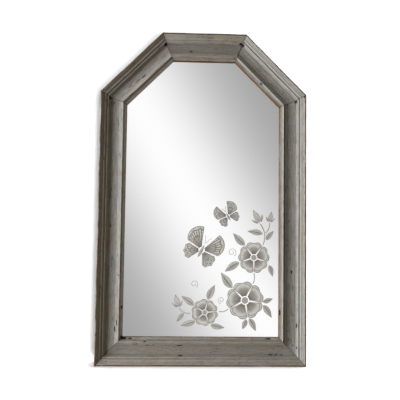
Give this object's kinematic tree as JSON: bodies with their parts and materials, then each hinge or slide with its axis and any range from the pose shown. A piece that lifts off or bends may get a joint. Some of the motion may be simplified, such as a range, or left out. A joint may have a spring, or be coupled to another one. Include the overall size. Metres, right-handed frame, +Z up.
{
  "type": "engraved mirror",
  "caption": "Wall mirror in a stepped, grey-washed wooden frame with clipped upper corners; the silvered pane is engraved with blossoms and butterflies, and rings on the back hang it",
  "frame": {"origin": "on the wall, midway between the two hanging rings and level with their bars", "axes": "+X to the viewer's right, +Y into the wall, +Z up; the mirror faces -Y"},
  "size_m": [0.61, 0.055, 0.975],
  "materials": {
    "painted_wood": "worn grey wash over brown wood",
    "mirror": "silvered, with a frosted engraving",
    "hardboard": "smooth brown hardboard",
    "zinc_steel": "zinc plated",
    "rubber": "matte black"
  },
  "bodies": {
    "mirror_body": {"bottom_rail": "painted_wood", "right_stile": "painted_wood", "upper_right_rail": "painted_wood", "top_rail": "painted_wood", "upper_left_rail": "painted_wood", "left_stile": "painted_wood", "mirror_glass": "mirror", "backing_board": "hardboard", "setting_blocks": "rubber", "glazing_points": "zinc_steel", "corner_v_nails": "zinc_steel", "left_hanger_strap": "zinc_steel", "right_hanger_strap": "zinc_steel", "left_hanger_screws": "zinc_steel", "right_hanger_screws": "zinc_steel", "wall_bumpers": "rubber"},
    "left_ring": {"left_hanger_ring": "zinc_steel"},
    "right_ring": {"right_hanger_ring": "zinc_steel"}
  },
  "joints": [
    {"name": "left_ring_swing", "type": "hinge", "parent": "mirror_body", "child": "left_ring", "pos_m": [-0.272, -0.00395, 0], "axis": [1, 0, 0], "range_deg": [0, 180]},
    {"name": "right_ring_swing", "type": "hinge", "parent": "mirror_body", "child": "right_ring", "pos_m": [0.272, -0.00395, 0], "axis": [1, 0, 0], "range_deg": [0, 180]}
  ]
}
